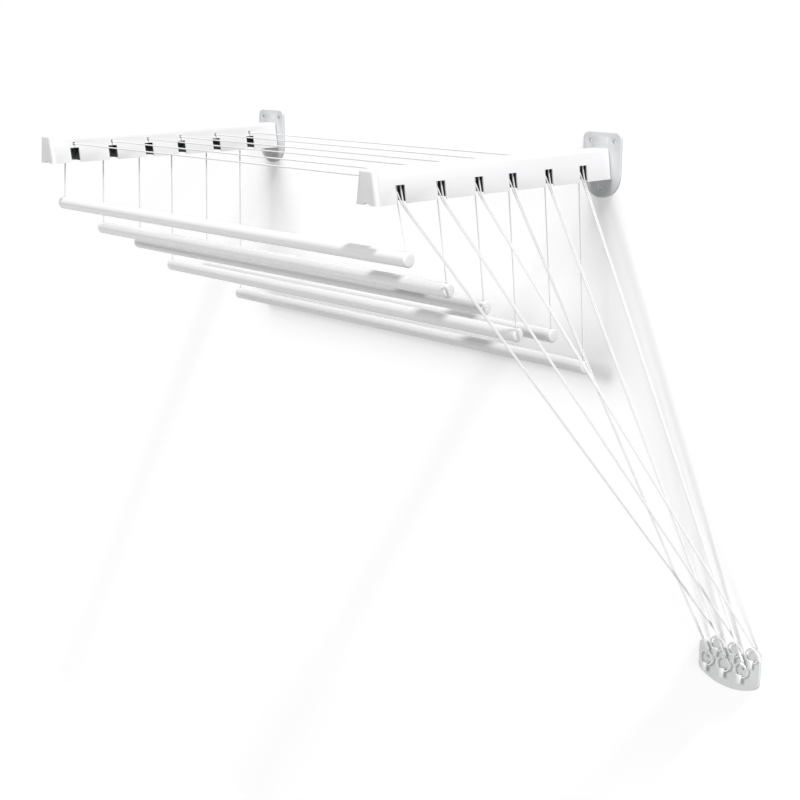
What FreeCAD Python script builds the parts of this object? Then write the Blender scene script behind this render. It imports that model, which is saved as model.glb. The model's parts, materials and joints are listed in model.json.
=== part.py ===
import FreeCAD, Part
import math
import os
import re
import Sketcher

# Wall drying rack with six rods on cords.  Origin: on the wall plane, midway between the two arms,
# at the height of each wall plate's lower screw hole.  X runs along the rods, -Y away from the wall.

DIMENSIONS = {
    "arm_spacing": 892,        # centre to centre of the two arms, and of their lower screw holes
    "arm_reach": 543,          # wall to the arm's front face
    "arm_floor": 16,           # underside of an arm above the lower screw hole
    "arm_height": 50.5,
    "arm_base": 49,            # width across the open underside
    "arm_crest": 34,           # width across the top
    "arm_wall": 2.25,
    "crest_round": 4,
    "arm_end_round": 6,        # round of the arm's end where it meets its wall plate
    "sleeve_wall": 7.5,        # wall of the sleeve that slides over the plate's spigot
    "weld": 0.2,               # overlap that makes the sleeve and the channel one solid
    "cap_thick": 9,
    "cap_plug": 8,
    "cap_notch": 3,
    "cap_rise": 2,             # cap's plug above the notch
    "cap_round": 7,            # round of the cap's upright front edges
    "window_width": 19,
    "window_height": 27,
    "window_first": 494,       # distance of each window from the wall, front to back
    "window_second": 410.6,
    "window_third": 328.2,
    "window_fourth": 251,
    "window_fifth": 164.6,
    "window_sixth": 78,
    "web_gap": 9.8,            # window centre to the inner face of the carrier's web beside it
    "web_thick": 2.5,
    "carrier_top": 2,          # bridge that joins a carrier's two webs under the arm's crest
    "carrier_rise": 3,         # webs' feet above the arm's underside
    "carrier_gap": 0.15,
    "axle_shift": 3,           # both axles lie this far to the left of their arm's centre
    "axle_rise": 38.75,
    "axle_radius": 3,
    "axle_seat": 4,            # spigot left solid behind the axle's end
    "axle_play": 0.5,          # gap at each end of an axle
    "running_gap": 0.06,
    "pulley_groove": 10,
    "pulley_flange": 13,
    "pulley_width": 17,
    "groove_width": 8,
    "groove_floor": 5,
    "hub_radius": 5.5,
    "hub_length": 19,
    "cord_radius": 1.25,
    "cord_gap": 0.3,
    "cord_lead": 8.5,          # straight run below the left pulley's middle, clear of its flanges
    "sheave_lead": 8,          # straight run behind the near sheave before the cord leans out
    "cord_port": 3.2,          # radius of the hole where a cord leaves an arm's inner wall
    "sheave_groove": 2.7,
    "sheave_flange": 5.6,
    "sheave_width": 4.4,
    "sheave_floor": 3,
    "sheave_lip": 0.5,
    "sheave_play": 0.2,        # gap between a sheave and its pin's head
    "sheave_out": 13.9,        # near sheave's middle plane beyond the right arm's centre
    "sheave_back": 2.5,        # near sheave's centre behind the window's centre
    "sheave_rise": 47.5,
    "pin_radius": 1.5,
    "pin_length": 8.7,
    "pin_head": 2.6,
    "pin_head_thick": 1,
    "plate_width": 81,
    "plate_top": 93,
    "plate_foot": 17,          # plate below its lower screw hole
    "plate_thick": 4.5,
    "plate_round": 12,
    "plate_foot_round": 40.3,
    "plate_edge": 1.2,
    "top_hole_rise": 78,
    "top_hole_spacing": 51,
    "screw_hole": 2.75,
    "screw_sink": 5.2,
    "sink_depth": 1.2,
    "panel_proud": 1,          # raised blank rectangle between the two top holes
    "panel_width": 26,
    "panel_height": 12,
    "spigot_length": 24,
    "spigot_gap": 0.2,
    "lock_screw": 1.7,
    "lock_hole": 2.1,
    "lock_head": 3.6,
    "lock_head_thick": 1.8,
    "lock_length": 16,
    "rod_length": 967,
    "rod_shift": 3.5,          # rods hang this far to the right of the arms' middle
    "rod_radius": 11.5,
    "rod_wall": 1.3,
    "rod_cap_dome": 3,
    "rod_cap_plug": 30,
    "rod_cap_gap": 0.1,
    "eye_inset": 6,            # cord hole from the rod's tip
    "eye_radius": 2.8,
    "eye_floor": 4,            # bottom of a cap's cord hole below the rod's axis
    "rod_first": -64.8,        # height of each rod's axis with its ring hooked
    "rod_second": -120.8,
    "rod_third": -158.7,
    "rod_fourth": -213.4,
    "rod_fifth": -227.5,
    "rod_sixth": -295.8,
    "ring_radius": 12.5,
    "ring_wire": 1.5,
    "ring_stand": 8.5,         # upper rings' middle plane in front of the wall
    "row_stand": 4.5,          # lower rings stand out this much further
    "hook_pitch": 34.4,
    "row_shift": 17.2,         # upper row to the right of the lower row
    "row_rise": 30.4,
    "hook_first_x": 716.3,     # lower row's first hook
    "hook_first_z": -788.5,    # centre of a lower ring's bottom wire
    "hook_width": 7,
    "hook_gap": 0.5,           # between a ring's wire and the finger in front of it
    "hook_rest": 0.6,          # between a ring's wire and the post above it
    "hook_drop": 10,           # finger below the ring's wire
    "hook_post": 2.8,
    "hook_finger": 2.8,
    "hook_lean": 2.8,          # how far the finger leans out over its drop
    "hook_root": 1,            # how deep a hook's post and a boss start inside the cleat
    "hook_nose": 0.8,          # slopes that blunt a finger's tip and its top edge
    "boss_radius": 8,
    "boss_proud": 1.5,
    "cleat_screw": 2.25,
    "cleat_sink": 4.2,
    "cleat_middle": 756,
    "cleat_top": -749,
    "cleat_width": 120,
    "cleat_side": 52,
    "cleat_height": 71,
    "cleat_thick": 5,
    "cleat_top_round": 8,
    "cleat_foot_round": 16,
    "cleat_edge": 1.5,
}
ORDER = ("first", "second", "third", "fourth", "fifth", "sixth")
STATIONS = range(6)
TOUCH = 0.05               # edges this close to a plane lie on it

doc = FreeCAD.newDocument("drying_rack")
sheet = doc.addObject("Spreadsheet::Sheet", "Sizes")
for row, (alias, number) in enumerate(DIMENSIONS.items(), start=1):
    sheet.set("A%d" % row, alias)
    sheet.set("B%d" % row, str(number))
    sheet.setAlias("B%d" % row, alias)
doc.recompute()

nodes = []


# ---------------------------------------------------------------- helpers


def linked(formula):
    """A formula in the sheet's words, with each word pointing at the sheet."""
    return re.sub(r"[a-z][a-z_]*", lambda word: "Sizes." + word.group()
                  if word.group() in DIMENSIONS else word.group(), str(formula))


def size(formula):
    """The present value of a formula in the sheet's words."""
    return float(sheet.evalExpression(re.sub("Sizes[.]", "", linked(formula))))


def bind(item, **formulas):
    for field, formula in formulas.items():
        item.setExpression(field, linked(formula))


def place(item, x, y, z, rotation=FreeCAD.Rotation()):
    """Put an item at a point given in the sheet's words."""
    item.Placement = FreeCAD.Placement(FreeCAD.Vector(size(x), size(y), size(z)), rotation)
    item.setExpression("Placement.Base.x", linked(x))
    item.setExpression("Placement.Base.y", linked(y))
    item.setExpression("Placement.Base.z", linked(z))


def new_body(label):
    body = doc.addObject("PartDesign::Body", label)
    body.Label = label
    return body


def keep(item, label):
    """Hand an object over as a sub-part under its own name."""
    item.Label = label
    nodes.append((label, item))
    return item


def new_sketch(body, name, plane, rise="0"):
    """A sketch on one of the body's origin planes, lifted along its normal by rise."""
    sketch = body.newObject("Sketcher::SketchObject", name)
    support = [item for item in body.Origin.OriginFeatures if item.Role == plane][0]
    sketch.AttachmentSupport = (support, [""])
    sketch.MapMode = "FlatFace"
    sketch.setExpression("AttachmentOffset.Base.z", linked(rise))
    return sketch


def outline(sketch, corners):
    """Closed outline of straight lines, each corner bound to the sheet."""
    spots = [FreeCAD.Vector(size(u), size(v), 0) for u, v in corners]
    first = sketch.GeometryCount
    for index, spot in enumerate(spots):
        sketch.addGeometry(Part.LineSegment(spot, spots[(index + 1) % len(spots)]), False)
    for index, (u, v) in enumerate(corners):
        line = first + index
        before = first + (index - 1) % len(spots)
        sketch.addConstraint(Sketcher.Constraint("Coincident", before, 2, line, 1))
        for kind, formula in (("DistanceX", u), ("DistanceY", v)):
            number = sketch.addConstraint(Sketcher.Constraint(kind, -1, 1, line, 1, size(formula)))
            sketch.setExpression("Constraints[%d]" % number, linked(formula))


def circle(sketch, u, v, radius):
    """Circle whose centre and radius are bound to the sheet."""
    centre = FreeCAD.Vector(size(u), size(v), 0)
    up = FreeCAD.Vector(0, 0, 1)
    line = sketch.addGeometry(Part.Circle(centre, up, size(radius)), False)
    for kind, formula in (("DistanceX", u), ("DistanceY", v)):
        number = sketch.addConstraint(Sketcher.Constraint(kind, -1, 1, line, 3, size(formula)))
        sketch.setExpression("Constraints[%d]" % number, linked(formula))
    number = sketch.addConstraint(Sketcher.Constraint("Radius", line, size(radius)))
    sketch.setExpression("Constraints[%d]" % number, linked(radius))


def pad(body, sketch, length, reversed_=False, midplane=False):
    feature = body.newObject("PartDesign::Pad", sketch.Name + "_pad")
    feature.Profile = sketch
    bind(feature, Length=length)
    feature.Reversed = reversed_
    feature.SideType = "Symmetric" if midplane else "One side"
    return feature


def pocket(body, sketch, length=None, reversed_=False, midplane=False):
    feature = body.newObject("PartDesign::Pocket", sketch.Name + "_pocket")
    feature.Profile = sketch
    if length is None:
        feature.Type = "ThroughAll"
    else:
        bind(feature, Length=length)
    feature.Reversed = reversed_
    feature.SideType = "Symmetric" if midplane else "One side"
    return feature


def soften(body, base, radius, wanted):
    """Fillet the edges of a feature that the test picks out."""
    doc.recompute()
    edges = ["Edge%d" % number for number, edge in enumerate(base.Shape.Edges, start=1)
             if wanted(edge)]
    feature = body.newObject("PartDesign::Fillet", base.Name + "_round")
    feature.Base = (base, edges)
    bind(feature, Radius=radius)
    return feature


def runs_along(edge, axis):
    """True where a straight edge runs along X, Y or Z."""
    if len(edge.Vertexes) < 2 or not isinstance(edge.Curve, Part.Line):
        return False
    return abs(getattr(edge.Curve.Direction, axis)) > 0.999


def lies_at(edge, y):
    """True where a whole edge lies at one distance from the wall."""
    return abs(edge.BoundBox.YMin - y) < TOUCH and abs(edge.BoundBox.YMax - y) < TOUCH


def tops_out(edge, z):
    """True where an edge's middle is at a height."""
    return abs(edge.CenterOfMass.z - z) < TOUCH


def cylinder(name, radius, height):
    item = doc.addObject("Part::Cylinder", name)
    bind(item, Radius=radius, Height=height)
    return item


def group(label, members):
    """Like pieces that share one node, each a solid of its own."""
    item = doc.addObject("Part::Compound", label)
    item.Links = members
    return keep(item, label)


ALONG_X = FreeCAD.Rotation(FreeCAD.Vector(0, 1, 0), 90)
ALONG_MINUS_X = FreeCAD.Rotation(FreeCAD.Vector(0, 1, 0), -90)
ALONG_MINUS_Y = FreeCAD.Rotation(FreeCAD.Vector(1, 0, 0), 90)


# ---------------------------------------------------------------- arms


def arm_section(inset, floor="arm_floor"):
    """The arm's trapezoid, moved inwards by inset, as sketch corners in X and Z."""
    taper = "(%s - arm_floor)*(arm_base - arm_crest)/2/(arm_height - (%s))" % (floor, inset)
    low = "(arm_base/2 - (%s) - %s)" % (inset, taper)
    high = "(arm_crest/2 - (%s))" % inset
    crest = "arm_floor + arm_height - (%s)" % inset
    return [("-" + low, floor), (low, floor), (high, crest), ("-" + high, crest)]


def arm_shell(label, side, inner):
    """Open channel with a window and a cord port at each station, and a sleeve at the wall."""
    body = new_body(label)
    section = new_sketch(body, label + "_section", "XZ_Plane", "plate_thick")
    outer = arm_section("0")
    hollow = arm_section("arm_wall")
    outline(section, [outer[0], outer[3], outer[2], outer[1], hollow[1], hollow[2], hollow[3],
                      hollow[0]])
    channel = pad(body, section, "arm_reach - cap_thick - plate_thick")
    sleeve = new_sketch(body, label + "_sleeve", "XZ_Plane", "plate_thick")
    outline(sleeve, arm_section("arm_wall - weld"))
    block = pad(body, sleeve, "spigot_length")
    crest = size("arm_floor + arm_height")
    wall_end = size("-plate_thick")
    rounded = soften(body, block, "arm_end_round",
                     lambda edge: lies_at(edge, wall_end)
                     and edge.CenterOfMass.z > size("arm_floor + arm_wall/2"))
    soften(body, rounded, "crest_round",
           lambda edge: edge.BoundBox.YLength > size("arm_reach/2") and tops_out(edge, crest))
    socket = new_sketch(body, label + "_socket", "XZ_Plane")
    outline(socket, arm_section("sleeve_wall", "arm_floor + sleeve_wall/2"))
    pocket(body, socket, "plate_thick + spigot_length + weld", reversed_=True)
    for name in ORDER:
        window = new_sketch(body, "%s_window_%s" % (label, name), "YZ_Plane")
        near = "-window_%s - window_width/2" % name
        far = "-window_%s + window_width/2" % name
        low = "arm_floor - arm_wall"
        high = "arm_floor + window_height"
        outline(window, [(near, low), (far, low), (far, high), (near, high)])
        pocket(body, window, midplane=True)
        port = new_sketch(body, "%s_port_%s" % (label, name), "YZ_Plane")
        circle(port, "-window_%s" % name, "axle_rise + pulley_groove + cord_radius + cord_gap",
               "cord_port")
        pocket(body, port, "arm_base", reversed_=inner > 0)
    bore = new_sketch(body, label + "_bore", "XZ_Plane")
    circle(bore, "-axle_shift", "axle_rise", "axle_radius + running_gap")
    pocket(body, bore, midplane=True)
    lock = new_sketch(body, label + "_lock_hole", "XY_Plane")
    circle(lock, "0", "-plate_thick - spigot_length/2", "lock_hole")
    pocket(body, lock, "arm_floor + sleeve_wall", reversed_=True)
    place(body, "%d*arm_spacing/2" % side, "0", "0")
    return keep(body, label)


def carrier(label, side, name):
    """Two webs and a bridge that hold one pulley inside an arm."""
    body = new_body(label)
    block = new_sketch(body, label + "_section", "XZ_Plane", "window_" + name)
    outline(block, arm_section("arm_wall + carrier_gap", "arm_floor + carrier_rise"))
    pad(body, block, "2*(web_gap + web_thick)", midplane=True)
    room = new_sketch(body, label + "_room", "YZ_Plane")
    near = "-window_%s - web_gap" % name
    far = "-window_%s + web_gap" % name
    low = "arm_floor"
    high = "arm_floor + arm_height - arm_wall - carrier_gap - carrier_top"
    outline(room, [(near, low), (far, low), (far, high), (near, high)])
    pocket(body, room, midplane=True)
    bore = new_sketch(body, label + "_bore", "XZ_Plane")
    circle(bore, "-axle_shift", "axle_rise", "axle_radius + running_gap")
    pocket(body, bore, midplane=True)
    place(body, "%d*arm_spacing/2" % side, "0", "0")
    return body


def end_cap(label, side):
    """Rounded front of an arm, with a plug inside the channel and a shallow notch below."""
    body = new_body(label)
    face = new_sketch(body, label + "_face", "XZ_Plane", "arm_reach - cap_thick")
    outline(face, arm_section("0"))
    front = pad(body, face, "cap_thick")
    crest = size("arm_floor + arm_height")
    reach = size("-arm_reach")
    nose = soften(body, front, "cap_round", lambda edge: lies_at(edge, reach)
                  and edge.BoundBox.ZLength > edge.BoundBox.XLength)
    soften(body, nose, "crest_round", lambda edge: runs_along(edge, "y") and tops_out(edge, crest))
    notch = new_sketch(body, label + "_notch", "XZ_Plane", "arm_reach - cap_thick")
    outline(notch, [("-3*cap_notch", "arm_floor"), ("-cap_notch", "arm_floor + cap_notch"),
                    ("cap_notch", "arm_floor + cap_notch"), ("3*cap_notch", "arm_floor")])
    pocket(body, notch, "cap_thick", reversed_=True)
    plug = new_sketch(body, label + "_plug", "XZ_Plane", "arm_reach - cap_thick")
    outline(plug, arm_section("arm_wall + spigot_gap", "arm_floor + cap_notch + cap_rise"))
    pad(body, plug, "cap_plug", reversed_=True)
    bore = new_sketch(body, label + "_bore", "XZ_Plane", "arm_reach - cap_thick")
    circle(bore, "-axle_shift", "axle_rise", "axle_radius + running_gap")
    pocket(body, bore, "cap_plug", reversed_=False)
    place(body, "%d*arm_spacing/2" % side, "0", "0")
    return keep(body, label)


def wall_plate(label, side):
    """Plate with three countersunk holes and a spigot that the arm slides over."""
    body = new_body(label)
    back = new_sketch(body, label + "_back", "XZ_Plane")
    outline(back, [("-plate_width/2", "-plate_foot"), ("plate_width/2", "-plate_foot"),
                   ("plate_width/2", "plate_top"), ("-plate_width/2", "plate_top")])
    slab = pad(body, back, "plate_thick")
    top = soften(body, slab, "plate_round",
                 lambda edge: runs_along(edge, "y") and tops_out(edge, size("plate_top")))
    foot = soften(body, top, "plate_foot_round",
                  lambda edge: runs_along(edge, "y") and tops_out(edge, size("-plate_foot")))
    front = size("-plate_thick")
    soften(body, foot, "plate_edge", lambda edge: lies_at(edge, front))
    panel = new_sketch(body, label + "_panel", "XZ_Plane", "plate_thick")
    left = "-panel_width/2"
    right = "panel_width/2"
    low = "top_hole_rise - panel_height/2"
    high = "top_hole_rise + panel_height/2"
    outline(panel, [(left, low), (right, low), (right, high), (left, high)])
    pad(body, panel, "panel_proud")
    spigot = new_sketch(body, label + "_spigot", "XZ_Plane", "plate_thick")
    outline(spigot, arm_section("sleeve_wall + spigot_gap", "arm_floor + sleeve_wall/2 + spigot_gap"))
    pad(body, spigot, "spigot_length")
    holes = [("-top_hole_spacing/2", "top_hole_rise"), ("top_hole_spacing/2", "top_hole_rise"),
             ("0", "0")]
    through = new_sketch(body, label + "_holes", "XZ_Plane")
    for u, v in holes:
        circle(through, u, v, "screw_hole")
    pocket(body, through, "plate_thick", reversed_=True)
    sink = new_sketch(body, label + "_sinks", "XZ_Plane", "plate_thick - sink_depth")
    for u, v in holes:
        circle(sink, u, v, "screw_sink")
    pocket(body, sink, "sink_depth", reversed_=True)
    bore = new_sketch(body, label + "_bore", "XZ_Plane", "plate_thick + axle_seat")
    circle(bore, "-axle_shift", "axle_rise", "axle_radius + running_gap")
    pocket(body, bore, "spigot_length", reversed_=True)
    lock = new_sketch(body, label + "_lock_hole", "XY_Plane")
    circle(lock, "0", "-plate_thick - spigot_length/2", "lock_screw")
    pocket(body, lock, "arm_floor + lock_length", reversed_=True)
    place(body, "%d*arm_spacing/2" % side, "0", "0")
    return keep(body, label)


def lock_screw(side):
    """Screw that holds an arm on its spigot, driven from below through the sleeve."""
    shank = cylinder("lock_shank_%s" % side, "lock_screw - running_gap", "lock_length")
    head = cylinder("lock_head_%s" % side, "lock_head", "lock_head_thick")
    x = "arm_spacing/2" if side == "right" else "-arm_spacing/2"
    y = "-plate_thick - spigot_length/2"
    place(shank, x, y, "arm_floor - lock_head_thick")
    place(head, x, y, "arm_floor - lock_head_thick")
    screw = doc.addObject("Part::Fuse", "lock_screw_%s" % side)
    screw.Base = shank
    screw.Tool = head
    return screw


for arm_name, arm_side in (("left", -1), ("right", 1)):
    arm_shell(arm_name + "_arm_shell", arm_side, -arm_side)
    group(arm_name + "_pulley_carriers",
          [carrier("%s_carrier_%s" % (arm_name, name), arm_side, name) for name in ORDER])
    end_cap(arm_name + "_end_cap", arm_side)
    wall_plate(arm_name + "_wall_plate", arm_side)
    axle = cylinder(arm_name + "_axle", "axle_radius",
                    "arm_reach - cap_thick - plate_thick - axle_seat - 2*axle_play")
    place(axle, "%d*arm_spacing/2 - axle_shift" % arm_side, "-plate_thick - axle_seat - axle_play",
          "axle_rise", ALONG_MINUS_Y)
    keep(axle, arm_name + "_axle")
group("lock_screws", [lock_screw("left"), lock_screw("right")])


# ---------------------------------------------------------------- pulleys


def turned(label, axis, width, flange, groove, floor, lip, hub, hub_width, bore):
    """Grooved wheel turned about its own X or Y axis."""
    body = new_body(label)
    profile = new_sketch(body, label + "_profile", "XY_Plane")
    half = "(%s)/2" % width
    brim = "(%s)/2 - (%s)" % (width, lip)
    trough = "(%s)/2" % floor
    hub_half = "(%s)/2" % hub_width
    across = [(bore, "-" + hub_half), (hub, "-" + hub_half), (hub, "-" + half),
              (flange, "-" + half), (flange, "-(" + brim + ")"), (groove, "-" + trough),
              (groove, trough), (flange, brim), (flange, half), (hub, half), (hub, hub_half),
              (bore, hub_half)]
    if size(hub_width) - size(width) < 0.001:
        across = [point for index, point in enumerate(across) if index not in (1, 2, 9, 10)]
    outline(profile, across if axis == "V_Axis" else [(v, u) for u, v in across])
    wheel = body.newObject("PartDesign::Revolution", label + "_turn")
    wheel.Profile = profile
    wheel.ReferenceAxis = (profile, [axis])
    wheel.Angle = 360
    return body


def pulley(label, side, name):
    body = turned(label, "V_Axis", "pulley_width", "pulley_flange", "pulley_groove",
                  "groove_floor", "(pulley_width - groove_width)/2", "hub_radius", "hub_length",
                  "axle_radius + running_gap")
    place(body, "%d*arm_spacing/2 - axle_shift" % side, "-window_%s" % name, "axle_rise")
    keep(body, label)


def near_sheave(label, name):
    body = turned(label, "H_Axis", "sheave_width", "sheave_flange", "sheave_groove", "sheave_floor",
                  "sheave_lip", "sheave_groove", "sheave_width", "pin_radius + running_gap")
    place(body, "arm_spacing/2 + sheave_out", "-window_%s + sheave_back" % name, "sheave_rise")
    keep(body, label)


def near_pin(name):
    """Headed pin pressed into the right arm's outer wall."""
    pin = cylinder("pin_" + name, "pin_radius", "pin_length")
    head = cylinder("pin_head_" + name, "pin_head", "pin_head_thick")
    x = "arm_spacing/2 + sheave_out - sheave_width/2 - sheave_play - pin_head_thick"
    y = "-window_%s + sheave_back" % name
    place(pin, x, y, "sheave_rise", ALONG_X)
    place(head, x, y, "sheave_rise", ALONG_X)
    whole = doc.addObject("Part::Fuse", "near_pin_" + name)
    whole.Base = pin
    whole.Tool = head
    return whole


for station in STATIONS:
    pulley("left_pulley_%d" % (station + 1), -1, ORDER[station])
for station in STATIONS:
    pulley("right_pulley_%d" % (station + 1), 1, ORDER[station])
for station in STATIONS:
    near_sheave("near_sheave_%d" % (station + 1), ORDER[station])
group("near_sheave_pins", [near_pin(name) for name in ORDER])


# ---------------------------------------------------------------- rods


def rod_tube(label, name):
    """Closed tube with a cord hole through its upper wall near each tip."""
    outside = cylinder(label + "_outside", "rod_radius", "rod_length - 2*rod_cap_dome")
    inside = cylinder(label + "_inside", "rod_radius - rod_wall", "rod_length")
    left = "rod_shift - rod_length/2"
    place(outside, left + " + rod_cap_dome", "-window_%s" % name, "rod_%s" % name, ALONG_X)
    place(inside, left, "-window_%s" % name, "rod_%s" % name, ALONG_X)
    tools = [inside]
    for tip, sign in (("left", -1), ("right", 1)):
        eye = cylinder("%s_eye_%s" % (label, tip), "eye_radius", "rod_radius + rod_wall")
        place(eye, "rod_shift + %d*(rod_length/2 - eye_inset)" % sign, "-window_%s" % name,
              "rod_%s" % name)
        tools.append(eye)
    cutter = doc.addObject("Part::MultiFuse", label + "_cutter")
    cutter.Shapes = tools
    tube = doc.addObject("Part::Cut", label)
    tube.Base = outside
    tube.Tool = cutter
    return keep(tube, label)


def rod_cap(label, side, name):
    """Domed cap with a plug inside the tube, drilled for the cord and its knot."""
    turn = ALONG_X if side > 0 else ALONG_MINUS_X
    bench = "rod_shift + %d*(rod_length/2 - rod_cap_dome)" % side
    y = "-window_%s" % name
    z = "rod_%s" % name
    dome = doc.addObject("Part::Cone", label + "_dome")
    bind(dome, Radius1="rod_radius", Radius2="rod_radius - rod_cap_dome", Height="rod_cap_dome")
    place(dome, bench, y, z, turn)
    plug = cylinder(label + "_plug", "rod_radius - rod_wall - rod_cap_gap", "rod_cap_plug")
    place(plug, "%s - %d*rod_cap_plug" % (bench, side), y, z, turn)
    whole = doc.addObject("Part::Fuse", label + "_whole")
    whole.Base = dome
    whole.Tool = plug
    eye = cylinder(label + "_eye", "eye_radius", "2*rod_radius")
    place(eye, "rod_shift + %d*(rod_length/2 - eye_inset)" % side, y, z + " - eye_floor")
    cap = doc.addObject("Part::Cut", label)
    cap.Base = whole
    cap.Tool = eye
    return cap


def drop_cord(label, top, bottom):
    """Straight cord from a wheel down to a rod's hole, as a leaning cylinder."""
    run = bottom - top
    item = doc.addObject("Part::Cylinder", label)
    bind(item, Radius="cord_radius")
    item.Height = run.Length
    item.Placement = FreeCAD.Placement(top, FreeCAD.Rotation(FreeCAD.Vector(0, 0, 1), run))
    return item


CORD_LINE = size("cord_radius + cord_gap")
WHEEL_LINE = size("pulley_groove") + CORD_LINE
SHEAVE_LINE = size("sheave_groove") + CORD_LINE
JOIN_GAP = 0.3             # between the standing part of a cord and the part that moves with a rod


def far_top(name):
    """Where the far cord leaves the left pulley downwards."""
    return FreeCAD.Vector(size("-arm_spacing/2 - axle_shift") - WHEEL_LINE,
                          size("-window_" + name), size("axle_rise - cord_lead"))


def near_top(name):
    """Where the near cord leaves its sheave downwards."""
    return FreeCAD.Vector(size("arm_spacing/2 + sheave_out"),
                          size("sheave_back - window_" + name) - SHEAVE_LINE,
                          size("axle_rise - cord_lead"))


def rod_eye(side, name):
    """Where a drop cord ends inside the rod."""
    return FreeCAD.Vector(size("rod_shift + %d*(rod_length/2 - eye_inset)" % side),
                          size("-window_" + name), size("rod_%s + rod_radius/2" % name))


for station in STATIONS:
    name = ORDER[station]
    number = station + 1
    rod_tube("rod_%d" % number, name)
    group("rod_end_caps_%d" % number, [rod_cap("rod_cap_left_%d" % number, -1, name),
                                       rod_cap("rod_cap_right_%d" % number, 1, name)])
    below = FreeCAD.Vector(0, 0, -JOIN_GAP)
    group("drop_cords_%d" % number,
          [drop_cord("drop_cord_left_%d" % number, far_top(name) + below, rod_eye(-1, name)),
           drop_cord("drop_cord_right_%d" % number, near_top(name) + below, rod_eye(1, name))])


# ---------------------------------------------------------------- cleat and rings


def hook_spot(station):
    """Centre of the bottom wire of the ring on a hook, in the sheet's words: X and Z."""
    column = station % 3
    upper = 1 if station < 3 else 0
    return ("hook_first_x + %d*hook_pitch + %d*row_shift" % (column, upper),
            "hook_first_z + %d*row_rise" % upper)


def hook_stand(station):
    """How far a ring's middle plane stands in front of the wall."""
    return "ring_stand" if station < 3 else "ring_stand + row_stand"


def cleat_plate():
    body = new_body("cleat_plate")
    face = new_sketch(body, "cleat_face", "XZ_Plane")
    half = "cleat_width/2"
    side_foot = "cleat_top - cleat_side"
    sag = size("cleat_height - cleat_side")
    reach = size(half)
    bow = (reach ** 2 + sag ** 2) / (2 * sag)
    corners = [("cleat_middle - " + half, side_foot), ("cleat_middle - " + half, "cleat_top"),
               ("cleat_middle + " + half, "cleat_top"), ("cleat_middle + " + half, side_foot)]
    spots = [FreeCAD.Vector(size(u), size(v), 0) for u, v in corners]
    for index in range(3):
        face.addGeometry(Part.LineSegment(spots[index], spots[index + 1]), False)
    lowest = FreeCAD.Vector(size("cleat_middle"), size("cleat_top - cleat_height"), 0)
    face.addGeometry(Part.Arc(spots[3], lowest, spots[0]), False)
    for index in range(3):
        face.addConstraint(Sketcher.Constraint("Coincident", index, 2, (index + 1) % 4,
                                               2 if index == 2 else 1))
    face.addConstraint(Sketcher.Constraint("Coincident", 3, 1, 0, 1))
    for index, line, end in ((0, 0, 1), (1, 1, 1), (2, 2, 1), (3, 2, 2)):
        for kind, formula in (("DistanceX", corners[index][0]), ("DistanceY", corners[index][1])):
            mark = face.addConstraint(Sketcher.Constraint(kind, -1, 1, line, end, size(formula)))
            face.setExpression("Constraints[%d]" % mark, linked(formula))
    mark = face.addConstraint(Sketcher.Constraint("Radius", 3, bow))
    face.setExpression("Constraints[%d]" % mark, linked(
        "((cleat_width/2)^2 + (cleat_height - cleat_side)^2)/(2*(cleat_height - cleat_side))"))
    slab = pad(body, face, "cleat_thick")
    top = size("cleat_top")
    crown = soften(body, slab, "cleat_top_round",
                   lambda edge: runs_along(edge, "y") and tops_out(edge, top))
    foot = soften(body, crown, "cleat_foot_round",
                  lambda edge: runs_along(edge, "y") and tops_out(edge, size(side_foot)))
    front = size("-cleat_thick")
    soften(body, foot, "cleat_edge", lambda edge: lies_at(edge, front))
    bosses = new_sketch(body, "cleat_bosses", "XZ_Plane", "cleat_thick - hook_root")
    for station in STATIONS:
        x, z = hook_spot(station)
        circle(bosses, x, z + " + ring_radius", "boss_radius")
    pad(body, bosses, "boss_proud + hook_root")
    for station in STATIONS:
        x, z = hook_spot(station)
        side = new_sketch(body, "hook_%d" % (station + 1), "YZ_Plane", x)
        under = z + " + ring_wire + hook_rest"
        top_line = z + " + ring_wire + hook_rest + hook_post"
        inner = "-(%s) - ring_wire - hook_gap" % hook_stand(station)
        tip = z + " - hook_drop"
        outline(side, [("hook_root - cleat_thick", under), (inner, under), (inner, z),
                       (inner + " - hook_lean", tip),
                       (inner + " - hook_lean - hook_finger/2", tip + " + hook_nose"),
                       (inner + " - hook_finger", top_line + " - hook_nose"),
                       (inner + " - hook_finger + hook_nose", top_line),
                       ("hook_root - cleat_thick", top_line)])
        pad(body, side, "hook_width", midplane=True)
    holes = new_sketch(body, "cleat_holes", "XZ_Plane")
    sinks = new_sketch(body, "cleat_sinks", "XZ_Plane", "cleat_thick + boss_proud - sink_depth")
    for station in (3, 5):
        x, z = hook_spot(station)
        circle(holes, x, z + " + ring_radius", "cleat_screw")
        circle(sinks, x, z + " + ring_radius", "cleat_sink")
    pocket(body, holes, "cleat_thick + boss_proud", reversed_=True)
    pocket(body, sinks, "sink_depth", reversed_=True)
    return keep(body, "cleat_plate")


def ring(label, station):
    item = doc.addObject("Part::Torus", label)
    bind(item, Radius1="ring_radius", Radius2="ring_wire")
    x, z = hook_spot(station)
    place(item, x, "-(%s)" % hook_stand(station), z + " + ring_radius", ALONG_MINUS_Y)
    return keep(item, label)


cleat_plate()
for station in STATIONS:
    ring("ring_%d" % (station + 1), station)


# ---------------------------------------------------------------- standing cords


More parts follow.
